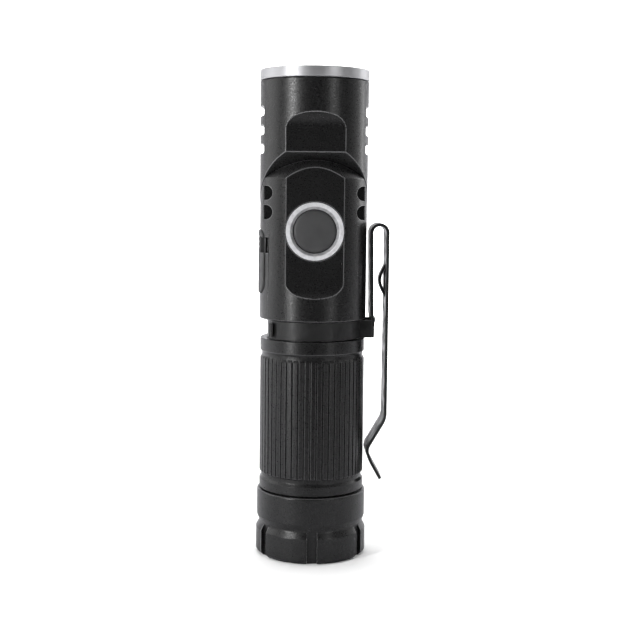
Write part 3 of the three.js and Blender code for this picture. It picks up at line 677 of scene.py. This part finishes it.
def make_head():
    """The head housing: a cone cut by the seam, with bores for the bezel, the lens and the reflector."""
    tip = SEAM_Z - SEAM_CONE
    radius, top, shelf, bore = HEAD.radius, HEAD.top, HEAD.shelf, HEAD.bore
    profile = [
        (0, tip), (radius, tip + CONE_SLOPE * radius), (radius, top), (HEAD.bezel_bore, top),
        (HEAD.bezel_bore, HEAD.bezel_seat), (HEAD.lens_bore, HEAD.bezel_seat),
        (HEAD.lens_bore, HEAD.lens_seat), (bore, HEAD.funnel), (bore, shelf), (0, shelf),
    ]
    mesh = lathe(soften(profile, 0.12, 2, closed=False), 256)
    hollow = carve(rod(bore, FAR, HEAD.cavity), seam_block(-FAR, SEAM_WALL))
    cuts = [seam_block(-FAR, SEAM_FACE), flat_cutter(HEAD.arch, 1), *fin_cutters(), hollow, pivot_bore(1)]
    return bevelled(carve(mesh, *cuts))


def make_bezel():
    """The bright ring round the lens, with an inner lip and a barrel that goes into the head."""
    top = BEZEL.top
    profile = [
        (BEZEL.bore, BEZEL.barrel_foot), (BEZEL.barrel, BEZEL.barrel_foot),
        (BEZEL.barrel, BEZEL.bottom), (BEZEL.radius, BEZEL.bottom), (BEZEL.radius, top),
        (BEZEL.lip + BEZEL.chamfer, top), (BEZEL.lip, top - BEZEL.chamfer),
        (BEZEL.lip, BEZEL.lip_foot), (BEZEL.bore, BEZEL.lip_foot),
    ]
    return lathe(soften(profile, BEZEL.round, 4), 256)


def make_lens():
    """The front glass, a plain disc with rounded rims."""
    radius, bottom, top = LENS.radius, LENS.bottom, LENS.top
    profile = [(0, bottom), (radius, bottom), (radius, top), (0, top)]
    return lathe(soften(profile, LENS.round, 3, closed=False), 128)


def make_reflector():
    """A parabolic bowl with a flange under the lens."""
    steps = 40
    depth = REFLECTOR.top - REFLECTOR.bottom
    heights = [REFLECTOR.bottom + depth * i / steps for i in range(steps + 1)]
    inside = [(2 * math.sqrt(REFLECTOR.focus * (z - REFLECTOR.vertex)), z) for z in heights]
    outside = [(r + REFLECTOR.wall, z) for r, z in inside[:-1:4]]
    rim = REFLECTOR.top + REFLECTOR.flange_thick
    flange = REFLECTOR.flange
    top = [(outside[-1][0], REFLECTOR.top), (flange, REFLECTOR.top), (flange, rim)]
    return lathe(outside + top + [(inside[-1][0], rim)] + inside[::-1], 160)


def make_emitter():
    """The LED: a square chip with a domed top."""
    foot = LED.top - LED.sunk
    arc = turns(0, math.pi / 2, 12)[:-1]
    dome = [(LED.dome * math.cos(a), foot + LED.dome_height * math.sin(a)) for a in arc]
    dome = lathe([(0, foot)] + dome + [(0, foot + LED.dome_height)], 64)
    half = LED.half
    chip = bevelled(block((-half, -half, LED.foot), (half, half, LED.top)), 0.08)
    return carve(chip, dome, operation="UNION")


# The number given for each shell sets how strongly its edges get the painted highlight and edge wearing.
piece("head_shell", make_head(), "head", anodised, ["head_housing"], edge_wear_and_highlight=0.6)
piece("bezel", make_bezel(), "head", bright, ["bezel_ring"])
piece("lens", make_lens(), "head", glass, ["front_lens"])
piece("reflector_bowl", make_reflector(), "head", mirror, ["reflector"])
piece("led", make_emitter(), "head", phosphor, ["led_emitter"])

# ---- body


def dimple_cutters():
    """The round pits at both sides of the front flat."""
    cutters = []
    for z in DIMPLE.heights:
        for side in (-1, 1):
            cutters.append(at_front(rod(DIMPLE.radius, DIMPLE.floor, WIDE, 48), side * DIMPLE.x, z))
    return cutters


def switch_seat():
    """The stepped hole in the front for the button and its ring."""
    floor, bore, step, ring = SEAT.floor, SEAT.bore, SEAT.step, SEAT.ring
    profile = [(0, floor), (bore, floor), (bore, step), (ring, step), (ring, WIDE), (0, WIDE)]
    return at_front(lathe(profile, 96))


def port_cutters():
    """The cover's recess at -X, the notch for its finger tab and the port's window."""
    middle = (COVER.top + COVER.bottom) / 2
    gap = COVER.gap
    height = COVER.top - COVER.bottom
    recess = rounded_outline(COVER.width + gap, height + gap, COVER.corner + gap / 2, middle)
    notch = block((-WIDE, -NOTCH.far, NOTCH.bottom), (-NOTCH.x, -NOTCH.near, NOTCH.top))
    window = rounded_outline(PORT.width, PORT.height, PORT.corner, PORT.z)
    return [along_x(recess, -WIDE, -COVER.pocket), notch, along_x(window, PORT.outer, PORT.inner)]


def body_hollows():
    """The socket for the tube, the bore above it, and the cavity up to the seam's wall."""
    bore, cavity = BODY.bore, BODY.cavity
    under = BODY.bottom - 0.8
    socket = TUBE.neck + BODY.socket_gap
    neck = [(0, under), (socket, under), (socket, BODY.socket_top), (bore, BODY.socket_top)]
    lower = lathe(neck + [(bore, cavity), (0, cavity)], 96)
    upper = rod(bore, cavity - 0.5, BODY.cavity_top)
    front = block((-WIDE, -WIDE, FAR), (WIDE, -BODY.front, 2 * FAR))
    return [lower, carve(upper, seam_block(-SEAM_WALL, FAR), front)]


def make_body():
    """The body housing: a cone cut by the seam, with the switch, the port and the hollow inside."""
    tip = SEAM_Z + SEAM_CONE
    radius, bottom = BODY.radius, BODY.bottom
    profile = [(0, bottom), (radius, bottom), (radius, tip - CONE_SLOPE * radius), (0, tip)]
    mesh = lathe(soften(profile, 0.3, 3, closed=False), 256)
    cuts = [seam_block(-SEAM_FACE, FAR), flat_cutter(BODY.foot, -1), *dimple_cutters(), switch_seat()]
    cuts += [*port_cutters(), *body_hollows(), pivot_bore(-1)]
    return bevelled(carve(mesh, *cuts))


def make_switch_ring():
    profile = [
        (RING.barrel_bore, RING.foot), (RING.barrel, RING.foot), (RING.barrel, RING.flange_foot),
        (RING.radius, RING.flange_foot), (RING.radius, RING.face), (RING.band, RING.face),
        (RING.mouth, RING.mouth_y),
    ]
    return at_front(lathe(soften(profile, 0.13, 3), 160))


def make_switch_cap():
    """The rubber button: a flange behind the ring and a low crown."""
    cap = BUTTON
    profile = [
        (0, cap.back), (cap.flange, cap.back), (cap.flange, cap.step),
        (cap.radius, cap.step), (cap.radius, cap.shoulder),
    ]
    arc = turns(0, math.pi / 2, 14)[1:-1]
    crown = [(cap.crown * math.cos(a), cap.crown_foot + cap.crown_rise * math.sin(a)) for a in arc]
    top = cap.crown_foot + cap.crown_rise
    return at_front(lathe(soften(profile, 0.1, 2, closed=False) + crown + [(0, top)], 128))


def make_cover():
    """The rubber port cover: a curved skin with a finger tab, grip lines and a plug behind."""
    middle = (COVER.top + COVER.bottom) / 2
    outline = rounded_outline(COVER.width, COVER.top - COVER.bottom, COVER.corner, middle)
    round_bar = rod(COVER.radius, FAR, FAR + WIDE, 256)
    skin = carve(along_x(outline, -WIDE, -COVER.back), round_bar, operation="INTERSECT")
    cutters = []
    tab = rounded_outline(TAB.width, NOTCH.top - NOTCH.bottom, TAB.corner, 0, 4)
    tab_z = (NOTCH.top + NOTCH.bottom) / 2
    cutters.append(along_x([(y + TAB.y, z + tab_z) for y, z in tab], TAB.x, TAB.x + TAB.depth))
    line = rounded_outline(GRIP.length, GRIP.width, GRIP.corner, 0, 6)
    for height in GRIP.heights:
        cutters.append(along_x([(y, z + height) for y, z in line], GRIP.x, GRIP.x + GRIP.depth))
    skin = bevelled(carve(skin, *cutters), 0.22, 30, 3)
    plug = rounded_outline(PLUG.width, PLUG.height, PLUG.corner, PORT.z)
    return carve(skin, along_x(plug, PLUG.outer, PLUG.inner), operation="UNION")


piece("body_shell", make_body(), "main_body", anodised, ["body_housing"], edge_wear_and_highlight=0.6)
on_switch = (Matrix.Translation((0, 0, SWITCH_Z)) @ TO_FRONT).inverted()
piece("button_ring", make_switch_ring(), "main_body", ring_metal, ["switch_ring"], on_switch)
piece("button_cap", make_switch_cap(), "button", button_rubber, ["switch_cap"], on_switch)
piece("charging_cover", make_cover(), "cover", cover_rubber, ["port_cover"])

# ---- battery tube


def thread_depth(z, angle):
    """How far a right-hand thread's flank lies under its crest. It fades out at both ends."""
    phase = (z / THREAD.pitch - angle / TAU) % 1.0
    flank = min(1.0, max(0.0, THREAD.steepness * abs(2 * phase - 1) - THREAD.crest))
    from_foot = (z - THREAD.foot) / THREAD.fade
    from_top = (THREAD.fade_top - z) / THREAD.fade
    return THREAD.depth * flank * min(1.0, from_foot, from_top)


def groove(radius, outer, foot, top):
    """An O-ring groove with slightly sloping walls, cut from the outer radius."""
    slope = GROOVE_SLOPE
    return [(outer, foot - slope), (radius, foot), (radius, top), (outer, top + slope)]


def plain(points):
    return [(radius, z, "") for radius, z in points]


def tail_rows():
    """The threaded end, its O-ring groove and the tail collar. Offsets under 1 mm ease the corners."""
    radius, tail, waist = TUBE.radius, TUBE.tail, TUBE.waist
    bottom = TUBE.bottom
    foot, top = TAIL_COLLAR
    step = THREAD.length / THREAD.rows
    rows = plain([(TUBE.bore + 0.1, bottom), (tail - 0.25, bottom), (tail, bottom + 0.3)])
    rows += [(tail, THREAD.foot + step * i, "thread") for i in range(THREAD.rows + 1)]
    rows += plain([(tail, THREAD.fade_top + 0.1)])
    rows += plain(groove(TAIL_GROOVE.radius, tail, TAIL_GROOVE.foot, TAIL_GROOVE.top))
    rows += plain([(tail, foot), (radius - 0.12, foot), (radius, foot + 0.12), (radius, top - 0.1)])
    return rows + plain([(radius - 0.06, top), (waist + 0.04, top + 0.45), (waist, top + 0.6)])


def grip_rows():
    """The fluted grip between its two waists. Offsets under 1 mm ease the corners."""
    radius, waist = TUBE.radius, TUBE.waist
    foot, top = FLUTE.foot, FLUTE.top
    rows = plain([(waist, foot - 0.5), (waist + 0.05, foot - 0.35)])
    rows += [(radius - 0.05, foot, "flute"), (radius, foot + 0.08, "flute")]
    rows += [(radius, foot + FLUTE.row_gap * (i + 1), "flute") for i in range(FLUTE.rows)]
    rows += [(radius, top, "flute"), (radius - 0.05, top + 0.08, "flute")]
    return rows + plain([(waist + 0.05, top + 0.55), (waist, top + 0.7)])


def neck_rows():
    """The front collar, the neck for the clip and its O-ring groove. Offsets under 1 mm ease the corners."""
    radius, neck, waist, bore = TUBE.radius, TUBE.neck, TUBE.waist, TUBE.bore
    foot, top = FRONT_COLLAR
    end = TUBE.top
    rows = [(waist, foot - 0.55), (waist + 0.05, foot - 0.4), (radius - 0.05, foot), (radius, foot + 0.1)]
    rows += [(radius, top - 0.12), (radius - 0.12, top), (neck, top)]
    rows += groove(NECK_GROOVE.radius, neck, NECK_GROOVE.foot, NECK_GROOVE.top)
    rows += [(neck, end - 0.1), (neck - 0.1, end), (bore + 0.1, end), (bore, end - 0.1)]
    return plain(rows + [(bore, TUBE.bottom + 0.1)])


def tube_columns():
    """Angles round the tube, with the depth of the flutes there: narrow grooves between flat lands."""
    pitch = TAU / FLUTE.count
    half = FLUTE.half / TUBE.radius
    lip, floor = FLUTE.lip, FLUTE.depth
    wall = floor * 0.8
    across = [(-1.25, 0), (-1, lip), (-0.75, wall), (0, floor), (0.75, wall), (1, lip), (1.25, 0)]
    columns = []
    for i in range(FLUTE.count):
        columns += [(i * pitch + share * half, depth) for share, depth in across]
        columns += [(i * pitch + share * pitch, 0) for share in (0.4, 0.6)]
    return columns


def make_tube():
    """The battery tube in one skin, with its thread and flutes in the rows and columns themselves."""
    verts = []
    rows = tail_rows() + grip_rows() + neck_rows()
    columns = tube_columns()
    for angle, depth in columns:
        for radius, z, kind in rows:
            if kind == "flute":
                radius = min(radius, TUBE.radius - depth)
            if kind == "thread":
                radius -= thread_depth(z, angle)
            verts.append((radius * math.cos(angle), radius * math.sin(angle), z))
    return mesh_from(verts, wrapped_faces(len(columns), len(rows), len(rows)))


piece("battery_barrel", make_tube(), "main_body", anodised, ["battery_tube"], edge_wear_and_highlight=0.4)

# ---- clip


def strip(path, reach, thick=CLIP.thick):
    """A flat spring strip along a path in (x, z), reaching from y = -reach to reach, with rounded edges."""
    half = thick / 2
    section = soften([(-reach, -half), (reach, -half), (reach, half), (-reach, half)], CLIP.edge, 3)
    verts = []
    for i, point in enumerate(path):
        before = Vector(path[max(i - 1, 0)])
        after = Vector(path[min(i + 1, len(path) - 1)])
        along = (after - before).normalized()
        side = Vector((-along.y, along.x))
        for y, offset in section:
            verts.append((point[0] + side.x * offset, y, point[1] + side.y * offset))
    size = len(section)
    last = (len(path) - 1) * size
    faces = [tuple(range(size)), tuple(last + j for j in reversed(range(size)))]
    for i in range(len(path) - 1):
        for j in range(size):
            k = (j + 1) % size
            faces.append((i * size + j, i * size + k, (i + 1) * size + k, (i + 1) * size + j))
    return mesh_from(verts, faces)


def spaced(path, gap=0.6):
    """Adds points to a path so that no stretch is longer than gap."""
    result = [path[0]]
    for start, end in zip(path, path[1:]):
        length = math.dist(start, end)
        count = max(1, math.ceil(length / gap))
        result += [tuple(Vector(start).lerp(Vector(end), (i + 1) / count)) for i in range(count)]
    return result


def loop_points():
    """The half circle at the top of the clip."""
    arc = turns(math.pi, 0, 32)
    return [(LOOP.x + LOOP.radius * math.cos(a), LOOP.z + LOOP.radius * math.sin(a)) for a in arc]


def clip_curl(side):
    """The rolled end of the clip's ring: side is 1 or -1 round the torch."""
    turn = side * (math.radians(CLIP.open) - CURL.overlap)
    outward = Vector((math.cos(turn), math.sin(turn)))
    onward = Vector((-math.sin(turn), math.cos(turn))) * side
    centre = outward * (CLIP.inner + CLIP.thick / 2 + CURL.radius)
    angles = turns(math.pi, math.pi - math.radians(CURL.sweep), 20)
    outline = []
    for offset, order in ((CURL.thick / 2, angles), (-CURL.thick / 2, angles[::-1])):
        reach = CURL.radius + offset
        outline += [tuple(centre + (outward * math.cos(a) + onward * math.sin(a)) * reach) for a in order]
    return prism(outline, CURL.height, Matrix.Translation((0, 0, CLIP.foot + CURL.foot)))


def arc_points(radius, start, end):
    return [(radius * math.cos(a), radius * math.sin(a)) for a in turns(start, end, 60)]


def clip_collar():
    """The ring round the tube's neck, squared out to a plate at +X."""
    inner, thick, half, plate = CLIP.inner, CLIP.thick, CLIP.half, CLIP.plate
    outer = inner + thick
    plate_in, half_in = plate - thick, half - thick
    opening = math.radians(CLIP.open)
    ear_out = math.asin(half / outer)
    ear_in = math.asin(half_in / inner)
    corners_out = [(outer, -half), (plate, -half), (plate, half), (outer, half)]
    corners_in = [(inner, half_in), (plate_in, half_in), (plate_in, -half_in), (inner, -half_in)]
    front_out = soften(corners_out, CLIP.corner_out, 6, closed=False)[1:-1]
    front_in = soften(corners_in, CLIP.corner_in, 4, closed=False)[1:-1]
    outline = arc_points(outer, -opening, -ear_out) + front_out + arc_points(outer, ear_out, opening)
    outline += arc_points(inner, opening, ear_in) + front_in + arc_points(inner, -ear_in, -opening)
    collar = prism(outline, CLIP.top - CLIP.foot, Matrix.Translation((0, 0, CLIP.foot)))
    collar = carve(collar, clip_curl(-1), clip_curl(1), operation="UNION")
    return bevelled(collar, 0.1, 40)


def strand_x(z):
    """The inner strand leans in from the plate to the foot of the loop."""
    low_x = CLIP.plate - CLIP.thick / 2 - STRAND.inset
    low_z = STRAND.lean_from
    high_x = LOOP.x - LOOP.radius
    return low_x + (high_x - low_x) * (z - low_z) / (LOOP.z - low_z)


def make_clip_ring():
    """The ring with the lower part of the inner strand, joined by a folded nub."""
    plate_x = CLIP.plate - CLIP.thick / 2
    bend, split = STRAND.bend, STRAND.split
    path = soften([
        (plate_x, STRAND.foot), (plate_x, STRAND.upright_top), (strand_x(bend), bend),
        (strand_x(split), split),
    ], 0.8, 8, closed=False)
    half, top = CLIP.half, CLIP.top
    low = (plate_x + NUB.inset, -half, top - NUB.below)
    high = (CLIP.plate + NUB.proud, half, top + NUB.above)
    strand = carve(strip(path, half), bevelled(block(low, high), 0.15), operation="UNION")
    return carve(clip_collar(), strand, operation="UNION")


def make_tongue():
    """The tongue cut free in the arm, bowed in towards the body."""
    steps = 28
    start = TONGUE.foot - TONGUE.overlap
    length = TONGUE.top - TONGUE.foot + 2 * TONGUE.overlap
    bow = [
        (ARM.x - TONGUE.bulge * math.sin(math.pi * i / steps) ** 1.5, start + length * i / steps)
        for i in range(steps + 1)
    ]
    return strip(bow, TONGUE.half, TONGUE.thick)


def make_clip_arm():
    """The upper inner strand, the loop and the long outer arm with its tongue and flared tip."""
    bends = soften([
        (ARM.x, ARM.top), (ARM.x, ARM.bend), (ARM.touch_x, ARM.touch_z),
        (ARM.foot_x, ARM.foot_z), (ARM.tip_x, ARM.tip_z),
    ], ARM.round, 8, closed=False)
    path = [(strand_x(STRAND.split), STRAND.split)] + loop_points() + bends
    arm = strip(spaced(path), CLIP.half)
    reach = TONGUE.half + TONGUE.slit
    arm = carve(arm, block((ARM.x - 2, -reach, TONGUE.foot), (ARM.x + 2, reach, TONGUE.top)))
    return carve(arm, make_tongue(), operation="UNION")


piece("clip_collar", make_clip_ring(), "clip", clip_steel, ["clip_ring"])
arm_piece = piece("clip_strip", make_clip_arm(), None, clip_steel, ["clip_arm"])
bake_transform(arm_piece)

# ---- tail cap


def make_tail_cap():
    """The tail cap: a waisted cup with notches round its foot."""
    upper, lower, waist, top = CAP.upper, CAP.lower, CAP.groove, CAP.top
    chamfer = CAP.top_chamfer
    profile = [
        (0, 0), (lower - CAP.foot_chamfer, 0), (lower, CAP.foot_chamfer), (lower, CAP.groove_foot),
        (waist, CAP.groove_low), (waist, CAP.groove_high), (upper, CAP.groove_top),
        (upper, top - chamfer), (upper - chamfer, top), (CAP.bore, top), (CAP.bore, CAP.floor),
        (CAP.pocket, CAP.floor), (CAP.pocket, CAP.web), (0, CAP.web),
    ]
    mesh = lathe(soften(profile, 0.16, 2, closed=False), 256)
    cuts = []
    half, count = CAP_SLOT.half, CAP_SLOT.count
    for i in range(count):
        slot = block((CAP_SLOT.floor, -half, -5), (FAR, half, CAP_SLOT.top))
        slot.transform(Matrix.Rotation(-math.pi / 2 + TAU * i / count, 4, "Z"))
        cuts.append(slot)
    return bevelled(carve(mesh, *cuts))


piece("tail_cover", make_tail_cap(), "tail", anodised, ["tail_cap"])

# ---- finishes of the CAD nodes that stay

NODE_FINISHES = (
    (seal_rubber, ("lens_oring", "pivot_oring", "tube_oring_front", "tube_oring_rear")),
    (white_plastic, ("led_centring_ring", "pivot_washer", "switch_plunger")),
    (board_white, ("led_board",)),
    (board_green, ("switch_board", "driver_board")),
    (wire_red, ("led_wire_red", "driver_wire_red")),
    (wire_black, ("led_wire_black", "driver_wire_black")),
    (black_plastic, ("tact_switch", "driver_inductor", "charge_chip")),
    (steel, ("pivot_bushing", "pivot_nut", "stop_pin", "usb_port")),
    (steel, ("battery_terminal", "tail_magnet", "tail_spring")),
    (brass, ("driver_ring", "front_contact", "tail_contact")),
    (cell_wrap, ("battery_cell",)),
)


def finish_nodes():
    for finish, names in NODE_FINISHES:
        for name in names:
            kept = bpy.data.objects[name]
            if not kept.material_slots:
                kept.data.materials.append(finish)
            for slot in kept.material_slots:
                slot.material = finish


finish_nodes()

# ---- stage, lights and camera


def backdrop_mesh():
    """A sheet that lies flat and sweeps up far behind the torch."""
    bend = STAGE.bend
    profile = [(STAGE.front, 0), (STAGE.bend_start, 0)]
    for angle in turns(0, math.pi / 2, 16)[1:]:
        profile.append((STAGE.bend_start + bend * math.sin(angle), bend - bend * math.cos(angle)))
    profile.append((STAGE.bend_start + bend, STAGE.top))
    verts = []
    for y, z in profile:
        verts += [(side * STAGE.half_width * MM, y * MM, z * MM) for side in (-1, 1)]
    faces = [(2 * i, 2 * i + 1, 2 * i + 3, 2 * i + 2) for i in range(len(profile) - 1)]
    mesh = bpy.data.meshes.new("backdrop")
    mesh.from_pydata(verts, [], faces)
    mesh.shade_smooth()
    return mesh


def paper_material():
    """Pale paper. The torch reflects it dark in front and bright behind, and far off it is plain white."""
    material, tree, principled = shader("backdrop_paper", Roughness=0.9, Specular_IOR_Level=0.1)
    paper = mix(tree, noise(tree, 3, 2), shade(WHITE[:3], 0.93), shade(WHITE[:3], 0.96))
    y = node(tree, "SeparateXYZ", "Y", Vector=position(tree))
    near = mix(tree, ramp(tree, y, over=(-0.22, -0.03)), grey(0.02), grey(0.55))
    mirrored = mix(tree, ramp(tree, y, over=(0.0, 0.35)), near, grey(0.9))
    fill(tree, principled, Base_Color=mix(tree, node(tree, "LightPath", "Is Glossy Ray"), paper, mirrored))
    fade = ramp(tree, length_of(tree, position(tree)), over=(0.12, 0.5))
    glow = mix(tree, node(tree, "LightPath", "Is Camera Ray"), BLACK, WHITE)
    fill(tree, principled, Emission_Color=mix(tree, fade, BLACK, glow), Emission_Strength=1.0)
    return material


def make_stage():
    mesh = backdrop_mesh()
    mesh.materials.append(paper_material())
    backdrop = new_object("backdrop", mesh)


def softbox(name, azimuth, height, distance, size, power, aim_z=70, facing=1):
    """An area light on a circle round the torch; azimuth 0 is the front and 90 is +X.

    It points at the axis at aim_z, or away from it if facing is -1.
    """
    data = bpy.data.lights.new(name, "AREA")
    data.shape = "RECTANGLE"
    data.size, data.size_y = size[0] * MM, size[1] * MM
    data.energy = power
    light = new_object(name, data)
    turn = math.radians(azimuth)
    place = Vector((math.sin(turn) * distance, -math.cos(turn) * distance, height))
    light.location = place * MM
    light.rotation_mode = "QUATERNION"
    aim = Vector((0, 0, aim_z)) - place
    light.rotation_quaternion = Vector((aim.x * facing, aim.y * facing, aim.z)).to_track_quat("-Z", "Y")
    return light


def make_lights():
    """Tall softboxes at both sides, soft light from above, and a wash on the paper behind."""
    softbox("key_left", -49, 120, 520, (80, 620), power=3.3)
    softbox("fill_left", -104, 160, 520, (420, 520), power=0.9)
    softbox("strip_right", 38, 120, 560, (110, 560), power=0.8)
    softbox("rim_right", 120, 160, 520, (120, 520), power=0.8)
    overhead = softbox("overhead", 180, 760, 60, (700, 700), power=3.0, aim_z=0)
    overhead.visible_glossy = False
    softbox("top", 180, 700, 250, (500, 500), power=2.0)
    softbox("wall_wash", 180, 700, 500, (1800, 300), power=12.0, aim_z=300, facing=-1)


def make_world():
    """Pale light from the sides and behind, and dark in front, as in a product tent."""
    world = bpy.data.worlds.new("tent")
    bpy.context.scene.world = world
    world.use_nodes = True
    tree = world.node_tree
    background = tree.nodes["Background"]
    y = node(tree, "SeparateXYZ", "Y", Vector=node(tree, "TexCoord", "Generated"))
    level = ramp(tree, y, to=(0.02, 1.0), over=(-0.55, 0.6))
    reflected = mix(tree, level, (0.01, 0.01, 0.011, 1), WHITE)
    shown = mix(tree, node(tree, "LightPath", "Is Camera Ray"), reflected, WHITE)
    fill(tree, background, Color=shown, Strength=1.0)


def make_camera():
    data = bpy.data.cameras.new("camera")
    data.lens = CAMERA.lens
    data.sensor_width = CAMERA.sensor
    data.clip_start = 0.01
    camera = new_object("camera", data)
    turn = math.radians(CAMERA.azimuth)
    place = Vector((math.sin(turn), -math.cos(turn), 0)) * CAMERA.distance
    camera.location = (place + Vector((0, 0, CAMERA.height))) * MM
    heading = Matrix.Rotation(turn, 4, "Z")
    tilt = Matrix.Rotation(math.radians(90 - CAMERA.pitch), 4, "X")
    roll = Matrix.Rotation(math.radians(CAMERA.roll), 4, "Z")
    camera.rotation_mode = "QUATERNION"
    camera.rotation_quaternion = (heading @ tilt @ roll).to_quaternion()
    bpy.context.scene.camera = camera


make_stage()
make_lights()
make_world()
make_camera()
bpy.context.scene.view_settings.view_transform = "Standard"
